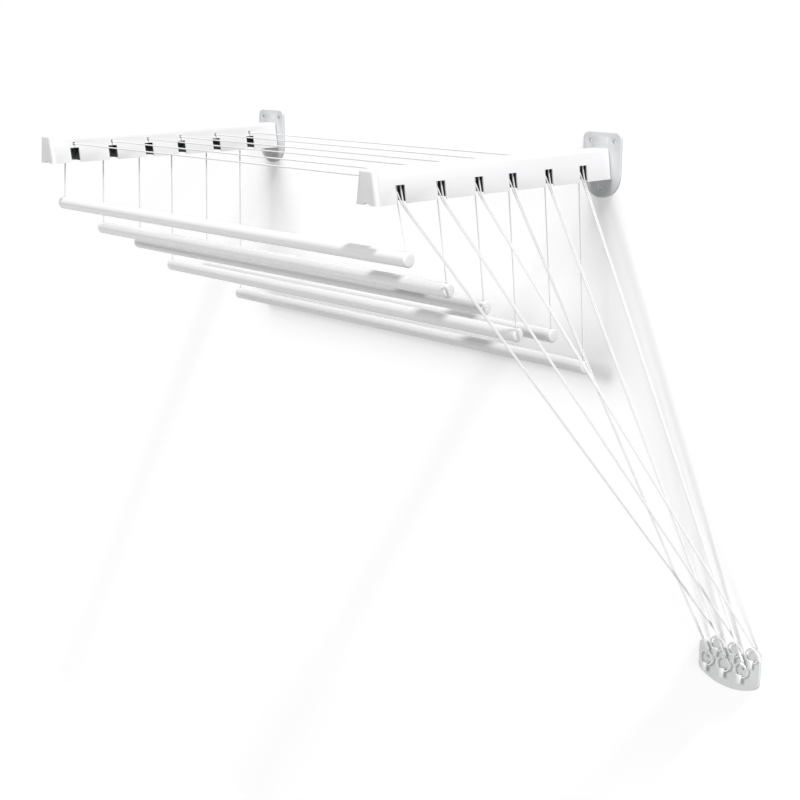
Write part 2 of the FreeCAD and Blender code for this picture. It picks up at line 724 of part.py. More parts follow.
def rounded_route(points, bends):
    """Wire of straight runs joined by tangent arcs, one bend radius per inner point."""
    edges = []
    start = points[0]
    for index in range(1, len(points) - 1):
        corner = points[index]
        arriving = (corner - points[index - 1]).normalize()
        leaving = (points[index + 1] - corner).normalize()
        turn = arriving.getAngle(leaving)
        reach = bends[index - 1] * math.tan(turn / 2)
        entry = corner - arriving * reach
        away = corner + leaving * reach
        inward = (leaving - arriving).normalize()
        centre = corner + inward * (bends[index - 1] / math.cos(turn / 2))
        middle = centre - inward * bends[index - 1]
        if (entry - start).Length > 0.01:
            edges.append(Part.LineSegment(start, entry).toShape())
            start = entry
        edges.append(Part.Arc(start, middle, away).toShape())
        start = away
    edges.append(Part.LineSegment(start, points[-1]).toShape())
    return Part.Wire(edges)


def cord_solid(route, heading):
    """Round cord swept along a route, with its volume compared with section times length."""
    radius = size("cord_radius")
    end = route.Edges[0].Vertexes[0].Point
    section = Part.Wire(Part.Circle(end, heading, radius).toShape())
    solid = route.makePipeShell([section], True, False)
    expected = math.pi * radius ** 2 * route.Length
    error = abs(solid.Volume - expected) / expected
    if error > 0.01 or not solid.isValid():
        raise RuntimeError("cord volume is off by %.3f" % error)
    return solid


CORNER_BEND = 8            # round of a window's lower corner where the cords bear on it
FAR_BEARING = FreeCAD.Vector(18.0, 4.6, -1)     # from the arm's centre, window and underside
NEAR_BEARING = FreeCAD.Vector(20.2, 7.8, -1)
HALF_SPREAD = 1.6          # the two cords of a rod lie side by side at their ring
HALF_STEP = 1.0            # and the far one a little in front
LOWER_ASIDE = 2.0          # the lower rings' cords sit right of the ring's top, clear of the rest
RING_CLEARANCE = 1.0
LEAVING = 0.7              # share of the pulley's radius where the cord leaves it downwards


def bearing(name, offset):
    return FreeCAD.Vector(size("arm_spacing/2"), size("-window_" + name), size("arm_floor")) + offset


def ring_top(station, sign):
    """End of the far cord, sign -1, or the near cord, sign 1, just above its ring."""
    x, z = hook_spot(station)
    aside = LOWER_ASIDE if station > 2 else 0
    return FreeCAD.Vector(size(x) + aside + sign * HALF_SPREAD,
                          size("-(%s)" % hook_stand(station)) + sign * HALF_STEP,
                          size(z + " + 2*ring_radius + ring_wire") + RING_CLEARANCE)


def far_route(station):
    """Left pulley, across, right pulley, window corner, ring."""
    name = ORDER[station]
    start = far_top(name)
    crest = size("axle_rise") + WHEEL_LINE
    corner = bearing(name, FAR_BEARING)
    wheel_x = size("arm_spacing/2 - axle_shift")
    down = math.atan2(crest - corner.z, corner.x - wheel_x - WHEEL_LINE * LEAVING)
    points = [start, FreeCAD.Vector(start.x, start.y, crest),
              FreeCAD.Vector(wheel_x + WHEEL_LINE * math.tan(down / 2), start.y, crest),
              corner, ring_top(station, -1)]
    return rounded_route(points, [WHEEL_LINE, WHEEL_LINE, CORNER_BEND])


def near_route(station):
    """Near sheave, window corner, ring."""
    name = ORDER[station]
    start = near_top(name)
    crest = size("sheave_rise") + SHEAVE_LINE
    back = start.y + 2 * SHEAVE_LINE
    points = [start, FreeCAD.Vector(start.x, start.y, crest),
              FreeCAD.Vector(start.x, back, crest),
              FreeCAD.Vector(start.x, back, size("sheave_rise - sheave_lead")),
              bearing(name, NEAR_BEARING), ring_top(station, 1)]
    return rounded_route(points, [SHEAVE_LINE, SHEAVE_LINE, CORNER_BEND, CORNER_BEND])


def standing_cords(label, route_of):
    lengths = []
    solids = []
    for station in STATIONS:
        route = route_of(station)
        solids.append(cord_solid(route, FreeCAD.Vector(0, 0, 1)))
        lengths.append(route.Length)
    item = doc.addObject("Part::Feature", label)
    item.Shape = Part.Compound(solids)
    keep(item, label)
    print(label, "lengths mm:", [round(length, 1) for length in lengths])


standing_cords("far_cords", far_route)
standing_cords("near_cords", near_route)


# ---------------------------------------------------------------- check and write

doc.recompute()
for item in doc.Objects:
    if "Invalid" in item.State or "Error" in item.State:
        raise RuntimeError("%s failed: %s" % (item.Label, item.State))
for label, item in nodes:
    if item.Shape.isNull() or not item.Shape.isValid():
        raise RuntimeError(label + " has no valid shape")

os.makedirs("parts", exist_ok=True)
for label, item in nodes:
    item.Shape.exportStep("parts/%s.step" % label)
print(len(nodes), "sub-parts written")
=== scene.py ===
import json
import math

import bpy
import numpy as np
from bpy.props import FloatProperty, FloatVectorProperty, IntProperty, PointerProperty
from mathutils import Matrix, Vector


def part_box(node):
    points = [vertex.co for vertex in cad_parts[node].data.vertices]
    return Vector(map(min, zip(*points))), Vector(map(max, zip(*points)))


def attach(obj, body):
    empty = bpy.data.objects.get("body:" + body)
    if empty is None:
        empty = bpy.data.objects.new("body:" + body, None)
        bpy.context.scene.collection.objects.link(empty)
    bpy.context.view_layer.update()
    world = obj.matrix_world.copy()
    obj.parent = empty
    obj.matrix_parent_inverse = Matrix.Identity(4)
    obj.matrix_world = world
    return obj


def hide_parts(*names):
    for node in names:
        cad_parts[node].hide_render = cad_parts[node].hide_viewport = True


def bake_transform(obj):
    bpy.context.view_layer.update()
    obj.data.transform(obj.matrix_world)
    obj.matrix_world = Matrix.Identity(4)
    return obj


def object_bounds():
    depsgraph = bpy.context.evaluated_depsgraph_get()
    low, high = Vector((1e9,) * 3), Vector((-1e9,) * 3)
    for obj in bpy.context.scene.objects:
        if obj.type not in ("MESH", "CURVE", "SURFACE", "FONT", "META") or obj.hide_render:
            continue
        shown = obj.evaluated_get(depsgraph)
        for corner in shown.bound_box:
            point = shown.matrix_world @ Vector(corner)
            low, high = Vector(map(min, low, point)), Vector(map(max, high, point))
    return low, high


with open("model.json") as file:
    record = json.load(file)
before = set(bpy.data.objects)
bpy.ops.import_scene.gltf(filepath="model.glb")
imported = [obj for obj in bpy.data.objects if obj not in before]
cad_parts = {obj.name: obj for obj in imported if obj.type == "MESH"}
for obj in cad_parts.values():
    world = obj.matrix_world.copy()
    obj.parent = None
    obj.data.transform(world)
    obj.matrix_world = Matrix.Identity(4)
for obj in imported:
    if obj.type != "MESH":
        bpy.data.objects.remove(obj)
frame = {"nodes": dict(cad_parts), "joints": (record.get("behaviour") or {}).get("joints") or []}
CAD_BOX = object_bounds()

bl_info = {
    "name": "Wall Drying Rack",
    "version": (1, 0, 0),
    "blender": (4, 5, 0),
    "location": "3D View > Sidebar > Drying Rack",
    "description": "Cords, rod caps, pull rings, finishes and a studio for the drying rack's frame",
    "category": "Object",
}

STATIONS = range(1, 7)
JOINTS = {joint["name"]: joint for joint in frame["joints"]}
UP = Vector((0, 0, 1))
ACROSS = Vector((1, 0, 0))
INWARDS = Vector((0, 1, 0))          # from the room towards the wall
MM = 0.001

# Where a cord bears on the window's corner: out from the arm's middle, and behind the wheel.
BEARINGS = {"far": (18.2 * MM, 5 * MM), "near": (19.8 * MM, 7.2 * MM)}
ARC = 45                             # most degrees of a wheel between two control points
BESIDE = Vector((0.6, 0.5, 0)) * MM  # each cord's end from the middle of its ring's knot
INSIDE_ROD = 6 * MM                  # a drop cord's end above the rod's middle line
TIGHTER = 0.85                       # a knotted cord's thickness as a share of a free one's


# ---------------------------------------------------------------- measures


def length_property(name, description, default):
    return FloatProperty(name=name, description=description, default=default, min=0,
                         unit="LENGTH", subtype="DISTANCE", precision=5)


def colour_property(name, description, default):
    return FloatVectorProperty(name=name, description=description, default=default, size=3,
                               min=0, max=1, subtype="COLOR")


class RackCordSettings(bpy.types.PropertyGroup):
    """Sizes of the braided cord and of the wheels that it runs on."""

    radius: length_property("Cord radius", "Half the diameter of the braided cord", 1.25 * MM)
    stitch: length_property("Stitch", "Length of one crossing of the braid", 1.25 * MM)
    relief: FloatProperty(name="Relief", description="Height of a strand as a share of the radius",
                          default=0.06, min=0, max=0.3, subtype="FACTOR")
    sides: IntProperty(name="Sides", description="Strand crossings round the cord", default=8,
                       min=6, max=24)
    pulley_line: length_property("Pulley line", "Cord's middle line from a pulley's axis",
                                 11.55 * MM)
    sheave_line: length_property("Sheave line", "Cord's middle line from a near sheave's axis",
                                 4.25 * MM)
    near_wheel: length_property("Next to a wheel", "Straight length kept beside a wheel or knot",
                                15 * MM)
    knot: length_property("Knot", "Radius of the knot above a ring", 2.2 * MM)


class RackShapeSettings(bpy.types.PropertyGroup):
    """Sizes of the turned and moulded pieces."""

    cap_dome: length_property("Cap dome", "How far a rod's cap stands out of the tube", 3 * MM)
    cap_shoulder: length_property("Cap shoulder", "Rounding of a rod cap's edge", 3.6 * MM)
    eye_inset: length_property("Eye inset", "Cord hole from a rod's tip", 6 * MM)
    parting: length_property("Parting line", "Height of the seam round a moulded ring", 0.08 * MM)
    edge: length_property("Moulded edge", "Rounding of the mouldings' sharp edges", 0.5 * MM)


class RackFinishSettings(bpy.types.PropertyGroup):
    """Colours of the finishes."""

    arm: colour_property("Arms", "Satin white moulding of the arms", (0.82, 0.82, 0.83))
    # Greyer than the arms: painted shade. It is the same white plastic, darkened for the shade the
    # plates sit in under the arms.
    plate: colour_property("Plates", "Satin moulding of the wall plates", (0.69, 0.70, 0.71))
    cleat: colour_property("Cleat", "Satin white moulding of the cleat", (0.73, 0.74, 0.74))
    rod: colour_property("Rods", "Gloss white enamel", (0.82, 0.82, 0.82))
    cap: colour_property("Rod caps", "Satin white cap", (0.78, 0.78, 0.78))
    pulley: colour_property("Pulleys", "Dark green-black moulding", (0.012, 0.020, 0.018))
    ring: colour_property("Rings", "Gloss white moulding of the rings", (0.80, 0.80, 0.80))
    cord: colour_property("Cord", "White braid", (0.80, 0.80, 0.79))
    steel: colour_property("Steel", "Bright zinc", (0.60, 0.60, 0.61))


class RackStageSettings(bpy.types.PropertyGroup):
    """Camera, lights and backdrop."""

    eye: FloatVectorProperty(name="Camera", description="Camera's place in the frame",
                             default=(1.9378, -1.8952, 0.2648), size=3, unit="LENGTH",
                             subtype="XYZ")
    heading: FloatProperty(name="Heading", description="Turn of the view to the left of +Y",
                           default=math.radians(45.97), unit="ROTATION", subtype="ANGLE")
    dip: FloatProperty(name="Dip", description="How far the view looks down",
                       default=math.radians(15.22), unit="ROTATION", subtype="ANGLE")
    lens: FloatProperty(name="Lens", description="Focal length in millimetres", default=62.79,
                        min=10, max=300)
    shift: FloatVectorProperty(name="Shift", description="Camera shift", size=2,
                               default=(-0.0133, 0.0071), subtype="XYZ")
    key: FloatProperty(name="Key light", description="Strength of the sun from the upper right",
                       default=2.75, min=0)
    fill: FloatProperty(name="Fill light", description="Strength of the sun from the front",
                        default=1.42, min=0)
    side: FloatProperty(name="Side light", description="Strength of the soft sun from the right",
                        default=0.78, min=0)
    sky: FloatProperty(name="Sky", description="Strength of the even white light", default=0.31,
                       min=0)
    floor_drop: length_property("Floor", "Floor below the lower screws", 2.4)


# ---------------------------------------------------------------- finishes


def finish(name, colour, roughness, **constants):
    """Procedural material with its node tree, its principled shader and its object coordinates."""
    material = bpy.data.materials.new(name)
    material.use_nodes = True
    tree = material.node_tree
    shader = tree.nodes["Principled BSDF"]
    shader.inputs["Base Color"].default_value = (*colour, 1)
    shader.inputs["Roughness"].default_value = roughness
    for socket, value in constants.items():
        shader.inputs[socket.replace("_", " ")].default_value = value
    place = tree.nodes.new("ShaderNodeTexCoord")
    return material, tree, shader, place.outputs["Object"]


def noise(tree, place, scale, detail=2, stretch=(1, 1, 1)):
    """Noise in object space, with its own stretch along each axis."""
    mapping = tree.nodes.new("ShaderNodeMapping")
    mapping.inputs["Scale"].default_value = stretch
    tree.links.new(place, mapping.inputs["Vector"])
    texture = tree.nodes.new("ShaderNodeTexNoise")
    texture.inputs["Scale"].default_value = scale
    texture.inputs["Detail"].default_value = detail
    tree.links.new(mapping.outputs["Vector"], texture.inputs["Vector"])
    return texture.outputs["Fac"]


def tint(tree, shader, factor, colour, spread, low=0.35, high=0.65):
    """Base colour that drifts by a small share round its mean."""
    ramp = tree.nodes.new("ShaderNodeValToRGB")
    ramp.color_ramp.elements[0].position = low
    ramp.color_ramp.elements[1].position = high
    for element, share in zip(ramp.color_ramp.elements, (1 - spread, 1 + spread)):
        element.color = (*[min(1, part * share) for part in colour], 1)
    tree.links.new(factor, ramp.inputs["Fac"])
    tree.links.new(ramp.outputs["Color"], shader.inputs["Base Color"])


def gloss(tree, shader, factor, low, high):
    """Roughness that drifts between two values."""
    span = tree.nodes.new("ShaderNodeMapRange")
    span.inputs["From Min"].default_value = 0.3
    span.inputs["From Max"].default_value = 0.7
    span.inputs["To Min"].default_value = low
    span.inputs["To Max"].default_value = high
    tree.links.new(factor, span.inputs["Value"])
    tree.links.new(span.outputs["Result"], shader.inputs["Roughness"])


def bumps(tree, shader, *layers):
    """Stacks bump layers, each a factor with its height in metres."""
    normal = None
    for factor, height in layers:
        bump = tree.nodes.new("ShaderNodeBump")
        bump.inputs["Strength"].default_value = 1
        bump.inputs["Distance"].default_value = height
        tree.links.new(factor, bump.inputs["Height"])
        if normal:
            tree.links.new(normal, bump.inputs["Normal"])
        normal = bump.outputs["Normal"]
    tree.links.new(normal, shader.inputs["Normal"])


def moulding(name, colour, roughness):
    """Satin moulding: fine eroded grain, faint flow marks and slow changes of shade."""
    material, tree, shader, place = finish(name, colour, roughness)
    tint(tree, shader, noise(tree, place, scale=9, detail=3, stretch=(1, 0.4, 1)), colour,
         spread=0.012)
    gloss(tree, shader, noise(tree, place, scale=60, detail=4), roughness - 0.06,
          roughness + 0.07)
    grain = noise(tree, place, scale=900)
    flow_marks = noise(tree, place, scale=35, detail=1, stretch=(1, 0.2, 1))
    bumps(tree, shader, (grain, 0.03 * MM), (flow_marks, 0.08 * MM))
    return material


def enamel(name, colour):
    """Gloss enamel on a drawn tube: faint draw lines under a soft orange peel."""
    material, tree, shader, place = finish(name, colour, 0.24, Coat_Weight=0.35,
                                           Coat_Roughness=0.08)
    tint(tree, shader, noise(tree, place, scale=5, detail=3, stretch=(0.5, 6, 6)), colour,
         spread=0.010)
    gloss(tree, shader, noise(tree, place, scale=40, detail=4, stretch=(0.2, 1, 1)),
          low=0.20, high=0.32)
    orange_peel = noise(tree, place, scale=260, detail=1)
    draw_lines = noise(tree, place, scale=400, stretch=(0.02, 1, 1))
    bumps(tree, shader, (orange_peel, 0.02 * MM), (draw_lines, 0.012 * MM))
    return material


def dark_moulding(name, colour):
    """Dark moulding of the pulleys and their carriers, with patches of higher polish."""
    material, tree, shader, place = finish(name, colour, 0.38)
    tint(tree, shader, noise(tree, place, scale=70, detail=4), colour, spread=0.30)
    gloss(tree, shader, noise(tree, place, scale=180, detail=3), low=0.28, high=0.5)
    grain = noise(tree, place, scale=1300)
    bumps(tree, shader, (grain, 0.03 * MM))
    return material


def zinc(name, colour):
    """Drawn steel with a bright zinc skin."""
    material, tree, shader, place = finish(name, colour, 0.3, Metallic=1)
    tint(tree, shader, noise(tree, place, scale=300, detail=4), colour, spread=0.08)
    gloss(tree, shader, noise(tree, place, scale=500, stretch=(1, 0.03, 1)), low=0.22,
          high=0.42)
    draw_lines = noise(tree, place, scale=900, detail=1, stretch=(1, 0.02, 1))
    bumps(tree, shader, (draw_lines, 0.01 * MM))
    return material


def arithmetic(tree, operation, *terms):
    """Maths node fed with numbers or with other nodes' outputs."""
    node = tree.nodes.new("ShaderNodeMath")
    node.operation = operation
    for socket, term in zip(node.inputs, terms):
        if isinstance(term, bpy.types.NodeSocket):
            tree.links.new(term, socket)
        else:
            socket.default_value = term
    return node.outputs[0]


def braid(name, colour, strands, stitch):
    """White braid: two crossing families of yarns, with fuzz, read from the cord's own map. Its
    colour has painted shade, darker down in the grooves between the yarns, and drifts at random with
    the fuzz.
    """
    material, tree, shader, place = finish(name, colour, 0.82, Sheen_Weight=0.25,
                                           Sheen_Roughness=0.5)
    chart = tree.nodes.new("ShaderNodeUVMap")
    chart.uv_map = "Braid"
    split = tree.nodes.new("ShaderNodeSeparateXYZ")
    tree.links.new(chart.outputs["UV"], split.inputs["Vector"])
    along = arithmetic(tree, "MULTIPLY", split.outputs["X"], math.pi / stitch)
    round_ = arithmetic(tree, "MULTIPLY", split.outputs["Y"], math.pi * strands)
    yarns = [arithmetic(tree, "ABSOLUTE", arithmetic(tree, "SINE",
                                                     arithmetic(tree, way, along, round_)))
             for way in ("ADD", "SUBTRACT")]
    height = arithmetic(tree, "MAXIMUM", *yarns)
    fuzz = noise(tree, place, scale=2600, detail=3)
    fuzz_share = 0.35
    groove_shade_and_fuzz = arithmetic(tree, "MULTIPLY_ADD", fuzz, fuzz_share, height)
    # Painted shade in the grooves: the colour darkens where the yarns' height is low, plus a random
    # drift from the fuzz
    tint(tree, shader, groove_shade_and_fuzz, colour, spread=0.055, low=0.3, high=1.2)
    bumps(tree, shader, (height, 0.12 * MM), (fuzz, 0.05 * MM))
    return material


def dress(node, material):
    """Gives a carried-over node its finish."""
    data = frame["nodes"][node].data
    data.materials.clear()
    data.materials.append(material)


def round_edges(node, width):
    """Rounds a moulding's sharp edges with modifiers, so its own mesh stays as it is."""
    item = frame["nodes"][node]
    weld = item.modifiers.new("weld", "WELD")
    weld.merge_threshold = 0.004 * MM
    bevel = item.modifiers.new("edges", "BEVEL")
    bevel.width = width
    bevel.segments = 3
    bevel.limit_method = "ANGLE"
    bevel.angle_limit = math.radians(40)
    bevel.harden_normals = True
    item.data.shade_smooth()


# ---------------------------------------------------------------- making meshes


def new_piece(name, vertices, faces, material, chart=None):
    """Mesh object with smooth faces, its material and, for a cord, its braid map."""
    data = bpy.data.meshes.new(name)
    data.from_pydata(vertices, [], faces)
    if chart:
        layer = data.uv_layers.new(name="Braid")
        layer.data.foreach_set("uv", np.array(chart, np.float32).ravel())
    data.validate()
    data.shade_smooth()
    data.materials.append(material)
    item = bpy.data.objects.new(name, data)
    bpy.context.scene.collection.objects.link(item)
    return item


def turned(profile, axis, out, middle, sides=96, closed=False):
    """Vertices and faces of an outline of (distance along axis, radius) turned about the axis."""
    across = axis.cross(out)
    vertices = []
    rows = []
    for along, radius in profile:
        if radius == 0:
            rows.append([len(vertices)])
            vertices.append(middle + axis * along)
            continue
        rows.append(range(len(vertices), len(vertices) + sides))
        for side in range(sides):
            turn = 2 * math.pi * side / sides
            vertices.append(middle + axis * along
                            + (out * math.cos(turn) + across * math.sin(turn)) * radius)
    faces = []
    for low, high in zip(rows, rows[1:] + rows[:1] if closed else rows[1:]):
        for side in range(sides):
            after = (side + 1) % sides
            if len(low) == 1:
                faces.append((low[0], high[side], high[after]))
            elif len(high) == 1:
                faces.append((low[side], high[0], low[after]))
            else:
                faces.append((low[side], high[side], high[after], low[after]))
    return vertices, faces


def smooth_line(route):
    """Points along the smooth curve that has the route's points as its control points."""
    curve = bpy.data.curves.new("route", "CURVE")
    curve.dimensions = "3D"
    spline = curve.splines.new("NURBS")
    spline.points.add(len(route) - 1)
    for point, place in zip(spline.points, route):
        point.co = (*place, 1)
    spline.order_u = 3
    spline.use_endpoint_u = True
    spline.resolution_u = 24
    item = bpy.data.objects.new("route", curve)
    mesh = bpy.data.meshes.new_from_object(item)
    line = np.array([vertex.co for vertex in mesh.vertices])
    bpy.data.objects.remove(item)
    bpy.data.curves.remove(curve)
    bpy.data.meshes.remove(mesh)
    return line


def even_steps(line, step):
    """The same line with its points evenly spaced, and how far along it each one lies."""
    same_place = 1e-7
    gaps = np.linalg.norm(np.diff(line, axis=0), axis=1)
    kept = np.concatenate([[True], gaps > same_place])
    line = line[kept]
    reached = np.concatenate([[0], np.cumsum(np.linalg.norm(np.diff(line, axis=0), axis=1))])
    count = max(2, round(reached[-1] / step)) + 1
    places = np.linspace(0, reached[-1], count)
    return np.column_stack([np.interp(places, reached, line[:, k]) for k in range(3)]), places


class Braided:
    """Collects braided tubes that share one mesh."""

    def __init__(self):
        self.vertices = []
        self.faces = []
        self.chart = []

    def add(self, line, closed=False, thinner=1.0):
        """One tube along a line.  Its strands cross in a lattice of raised points."""
        cord = bpy.context.scene.rack_cord
        radius = cord.radius * thinner
        line, places = even_steps(line, cord.stitch * thinner)
        if closed:
            line = line[:-1]
            places = places[:-1]
        count = len(line)
        after = np.roll(line, -1, 0) if closed else np.vstack([line[1:], line[-1:]])
        before = np.roll(line, 1, 0) if closed else np.vstack([line[:1], line[:-1]])
        heading = after - before
        heading /= np.linalg.norm(heading, axis=1)[:, None]
        off_axis = (0.31, 0.17, 0.93)       # along no cord, so the cross product is never zero
        side = np.cross(heading[0], off_axis)
        side /= np.linalg.norm(side)
        first = len(self.vertices)
        turns = 2 * np.pi * np.arange(cord.sides) / cord.sides
        for step in range(count):
            side = side - heading[step] * np.dot(side, heading[step])
            side /= np.linalg.norm(side)
            other = np.cross(heading[step], side)
            raised = 1 + cord.relief * np.where((np.arange(cord.sides) + step) % 2, 1, -1)
            ring = (line[step] + radius * raised[:, None]
                    * (np.cos(turns)[:, None] * side + np.sin(turns)[:, None] * other))
            self.vertices.extend(ring.tolist())
        spans = count if closed else count - 1
        for step in range(spans):
            low = first + step * cord.sides
            high = first + (step + 1) % count * cord.sides
            reach = places[step] + cord.stitch * thinner
            for k in range(cord.sides):
                follow = (k + 1) % cord.sides
                self.faces.append((low + k, low + follow, high + follow, high + k))
                share = (k + 1) / cord.sides
                self.chart.extend([(places[step], k / cord.sides), (places[step], share),
                                   (reach, share), (reach, k / cord.sides)])
        if not closed:
            for start, order in ((first, -1), (first + (count - 1) * cord.sides, 1)):
                self.faces.append(tuple(range(start, start + cord.sides))[::order])
                self.chart.extend([(0, 0)] * cord.sides)

    def piece(self, name, material):
        """Mesh object of all the tubes collected so far."""
        return new_piece(name, self.vertices, self.faces, material, self.chart)


def knot_line(middle, size, spread=Vector((1, 1, 1))):
    """Closed line of a three-lobed knot round a point."""
    turns = np.linspace(0, 2 * np.pi, 73)
    shape = np.column_stack([np.sin(turns) + 2 * np.sin(2 * turns),
                             -np.sin(3 * turns),
                             np.cos(turns) - 2 * np.cos(2 * turns)]) / 3
    return np.array(middle) + shape * size * np.array(spread)


def loop_line(middle, radius, lean):
    """Closed line round a ring's wire, in the plane across it."""
    turns = np.linspace(0, 2 * np.pi, 49)
    return np.array([middle + INWARDS * math.cos(turn) * radius + UP * math.sin(turn) * radius
                     + ACROSS * lean * math.sin(turn) for turn in turns])


# ---------------------------------------------------------------- routes


def axle(joint):
    """Point on a wheel's axis."""
    return Vector(JOINTS[joint]["pos_m"])


def middle(node):
    """Middle of a node's box."""
    low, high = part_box(node)
    return (low + high) / 2


def window_bearing(station, beyond, behind):
    """Where a cord bears on the lower corner of the right arm's window."""
    arm = middle("right_arm_shell")
    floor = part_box("right_arm_shell")[0].z
    window = axle("right_pulley_%d_turn" % station).y
    below = 1 * MM
    return Vector((arm.x + beyond, window + behind, floor - below))


def around(hub, radius, out, first, last):
    """Control points of a line that hugs a wheel from one angle to another, in degrees."""
    arcs = max(1, round(abs(last - first) / ARC))
    half = math.radians(last - first) / arcs / 2
    turns = [math.radians(first) + half * (2 * step - 1) for step in range(arcs + 2)]
    return [hub + (out * math.cos(turn) + UP * math.sin(turn)) * radius / math.cos(half)
            for turn in turns]


def straight(start, end, ease):
    """Two points that keep a long run straight up to its ends."""
    heading = (end - start).normalized()
    return [start + heading * ease, end - heading * ease]


def cord_top():
    """Height where the drop cords hand over to the standing cords."""
    overlap = 0.3 * MM
    return JOINTS["rod_1_lift"]["deforming_nodes"][0]["fixed_end_z_m"] + overlap


def knot_place(station):
    """Middle of the knot above a ring."""
    ring = middle("ring_%d" % station)
    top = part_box("ring_%d" % station)[1].z
    aside = 2 * MM       # beside the line of the hooks
    above = 3.6 * MM
    return Vector((ring.x + aside, ring.y, top + above))


def far_route(station):
    """Left pulley, across, right pulley, window corner, ring."""
    cord = bpy.context.scene.rack_cord
    left = axle("left_pulley_%d_turn" % station)
    right = axle("right_pulley_%d_turn" % station)
    start = Vector((left.x - cord.pulley_line, left.y, cord_top()))
    corner = window_bearing(station, *BEARINGS["far"])
    span = corner - right
    leave = math.degrees(math.atan2(span.z, span.x)
                         + math.acos(cord.pulley_line / math.hypot(span.x, span.z)))
    wrap_left = around(left, cord.pulley_line, ACROSS, 180, 90)
    wrap_right = around(right, cord.pulley_line, ACROSS, 90, leave)
    end = knot_place(station) - BESIDE
    return [start, *wrap_left, *straight(wrap_left[-1], wrap_right[0], cord.near_wheel),
            *wrap_right, corner.lerp(wrap_right[-1], 0.3), corner,
            *straight(corner, end, cord.near_wheel / 2), end]


def near_route(station):
    """Near sheave, window corner, ring."""
    cord = bpy.context.scene.rack_cord
    hub = axle("near_sheave_%d_turn" % station)
    start = Vector((hub.x, hub.y - cord.sheave_line, cord_top()))
    corner = window_bearing(station, *BEARINGS["near"])
    wrap = around(hub, cord.sheave_line, INWARDS, 180, 0)
    below = hub + INWARDS * cord.sheave_line - UP * 8 * MM      # still behind the sheave
    end = knot_place(station) + BESIDE
    return [start, *wrap, below, below.lerp(corner, 0.75), corner,
            *straight(corner, end, cord.near_wheel / 2), end]


def drop_route(station, side):
    """From a wheel straight down into a rod, ending just inside its wall."""
    cord = bpy.context.scene.rack_cord
    shape = bpy.context.scene.rack_shape
    low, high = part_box("rod_end_caps_%d" % station)
    rod = middle("rod_%d" % station)
    if side == "left":
        hub = axle("left_pulley_%d_turn" % station)
        top = Vector((hub.x - cord.pulley_line, hub.y, cord_top()))
        eye = Vector((low.x + shape.eye_inset, rod.y, rod.z + INSIDE_ROD))
    else:
        hub = axle("near_sheave_%d_turn" % station)
        top = Vector((hub.x, hub.y - cord.sheave_line, cord_top()))
        eye = Vector((high.x - shape.eye_inset, rod.y, rod.z + INSIDE_ROD))
    return [top, *straight(top, eye, cord.near_wheel / 2), eye]


# ---------------------------------------------------------------- operators


class RACK_OT_arms(bpy.types.Operator):
    """Finishes the arms, end caps and wall plates"""

    bl_idname = "rack.arms"
    bl_label = "Arms and wall plates"

    def execute(self, context):
        colours = context.scene.rack_finish
        shell = moulding("arm moulding", tuple(colours.arm), 0.42)
        # The plates' moulding is darker than the arms' to paint in shade, not because the plastic
        # differs
        plate = moulding("plate moulding with painted shade", tuple(colours.plate), 0.46)
        for side in ("left", "right"):
            for part, material in (("arm_shell", shell), ("end_cap", shell), ("wall_plate", plate)):
                node = "%s_%s" % (side, part)
                dress(node, material)
                round_edges(node, context.scene.rack_shape.edge)
        return {"FINISHED"}


class RACK_OT_wheels(bpy.types.Operator):
    """Finishes the pulleys, sheaves, carriers, axles, pins and screws"""

    bl_idname = "rack.wheels"
    bl_label = "Pulleys and axles"

    def execute(self, context):
        colours = context.scene.rack_finish
        dark = dark_moulding("pulley moulding", tuple(colours.pulley))
        bright = zinc("zinc", tuple(colours.steel))
        for side in ("left", "right"):
            dress(side + "_pulley_carriers", dark)
            round_edges(side + "_pulley_carriers", 0.3 * MM)
            dress(side + "_axle", bright)
        for station in STATIONS:
            for kind in ("left_pulley", "right_pulley", "near_sheave"):
                dress("%s_%d" % (kind, station), dark)
        for node in ("lock_screws", "near_sheave_pins"):
            dress(node, bright)
        return {"FINISHED"}


